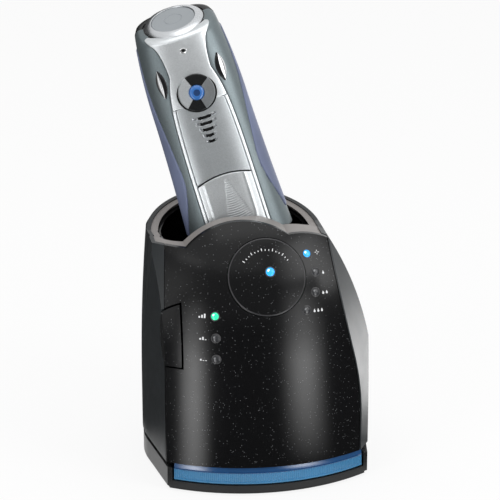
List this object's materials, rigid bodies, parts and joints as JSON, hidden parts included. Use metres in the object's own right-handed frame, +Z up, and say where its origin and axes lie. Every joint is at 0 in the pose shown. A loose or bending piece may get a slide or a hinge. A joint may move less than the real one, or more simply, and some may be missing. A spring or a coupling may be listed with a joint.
{
  "type": "shaver cleaning station",
  "caption": "Shaver cleaning station with bowed glossy front, round start button, lights, slide-in cartridge and a docked electric shaver leaning in its cradle.",
  "frame": {"origin": "middle of the footprint, on the surface the station stands on", "axes": "+Z up, +Y from the front to the rear, +X to the right of someone who faces the front"},
  "size_m": [0.1306, 0.1303, 0.2638],
  "materials": {
    "black_gloss": "polished black with fine light flecks",
    "shell_grey": "satin dark grey",
    "bezel_grey": "satin",
    "cradle_black": "smooth",
    "base_black": "fine satin",
    "rubber_black": "matt",
    "blue_clear": "clear blue, ribbed",
    "blue_deep": "smooth",
    "filter_white": "porous",
    "inner_grey": "moulded",
    "pipe_white": "smooth",
    "steel": "bright",
    "copper": "wound",
    "board_green": "printed board",
    "lens_green": "lit",
    "lens_grey": "unlit",
    "lens_blue": "lit",
    "inlet_black": "satin",
    "shaver_silver": "metallic lacquer",
    "shaver_slate": "metallic lacquer",
    "shaver_steel_grey": "metallic lacquer",
    "grip_blue_grey": "soft",
    "shaver_black": "smooth",
    "ring_brushed": "ring brushed",
    "disc_pale": "milky",
    "ring_chrome": "polished",
    "button_blue": "polished"
  },
  "bodies": {
    "base": {"base_tray": "base_black", "base_feet": "rubber_black", "guide_posts": "steel", "lift_springs": "steel", "latch_strike": "base_black"},
    "cartridge": {"cartridge_tub": "blue_clear", "cartridge_grip": "blue_clear", "cartridge_cover": "blue_deep", "cartridge_filter": "filter_white"},
    "housing": {"front_panel": "black_gloss", "rear_shell": "shell_grey", "mouth_bezel": "bezel_grey", "cradle_bowl": "cradle_black", "cradle_funnel": "cradle_black", "chassis": "inner_grey", "housing_screws": "steel", "pump_housing": "inner_grey", "pump_motor": "steel", "suction_pipe": "pipe_white", "drain_pipe": "pipe_white", "feed_pipe": "pipe_white", "nozzle_seals": "rubber_black", "heater_ring": "copper", "start_board": "board_green", "level_board": "board_green", "start_switch": "board_green", "level_light_high": "lens_green", "level_light_low": "lens_grey", "level_light_empty": "lens_grey", "clean_light": "lens_blue", "program_lights": "lens_grey", "power_inlet": "inlet_black", "inlet_pins": "steel"},
    "impeller": {"impeller": "pipe_white"},
    "start_button": {"start_button": "black_gloss", "start_light_lens": "lens_blue"},
    "lift_button": {"lift_button": "black_gloss"},
    "shaver": {"shaver_back": "shaver_black", "shaver_core": "shaver_black", "shaver_side_panels": "shaver_steel_grey", "shaver_grip_left": "grip_blue_grey", "shaver_grip_right": "grip_blue_grey", "shaver_face": "shaver_silver", "shaver_slider": "shaver_slate", "shaver_trimmer_cover": "shaver_silver", "shaver_end_ring": "ring_brushed", "shaver_end_disc": "disc_pale", "shaver_control_ring": "ring_chrome", "shaver_head_frame": "shaver_black", "foil_cassette": "ring_brushed"},
    "power_button": {"shaver_power_button": "button_blue"},
    "key_left": {"shaver_key_left": "ring_chrome"},
    "key_right": {"shaver_key_right": "ring_chrome"}
  },
  "joints": [
    {"name": "housing_lift", "type": "slide", "parent": "base", "child": "housing", "axis": [0, 0, 1], "range_m": [0, 0.018], "deforming": ["lift_springs"]},
    {"name": "cartridge_slide", "type": "slide", "parent": "base", "child": "cartridge", "axis": [0, 1, 0], "range_m": [0, 0.115]},
    {"name": "impeller_spin", "type": "hinge", "parent": "housing", "child": "impeller", "pos_m": [-0.024, 0.026, 0.055], "axis": [0, 0, 1], "continuous": true},
    {"name": "start_button_press", "type": "slide", "parent": "housing", "child": "start_button", "axis": [0.0167, 0.8926, -0.4505], "range_m": [0, 0.0012], "stiffness_N_per_m": 900, "springref_m": -0.0006},
    {"name": "lift_button_press", "type": "slide", "parent": "housing", "child": "lift_button", "axis": [0.7071, 0.7071, 0], "range_m": [0, 0.0012], "stiffness_N_per_m": 900, "springref_m": -0.0006},
    {"name": "shaver_lift_out", "type": "slide", "parent": "housing", "child": "shaver", "axis": [-0.2734, 0.1685, 0.947], "range_m": [0, 0.13]},
    {"name": "power_button_press", "type": "slide", "parent": "shaver", "child": "power_button", "axis": [0.0969, 0.9844, -0.1471], "range_m": [0, 0.0008], "stiffness_N_per_m": 600, "springref_m": -0.0005},
    {"name": "key_left_press", "type": "slide", "parent": "shaver", "child": "key_left", "axis": [0.0969, 0.9844, -0.1471], "range_m": [0, 0.0004], "stiffness_N_per_m": 600, "springref_m": -0.0005},
    {"name": "key_right_press", "type": "slide", "parent": "shaver", "child": "key_right", "axis": [0.0969, 0.9844, -0.1471], "range_m": [0, 0.0004], "stiffness_N_per_m": 600, "springref_m": -0.0005}
  ]
}
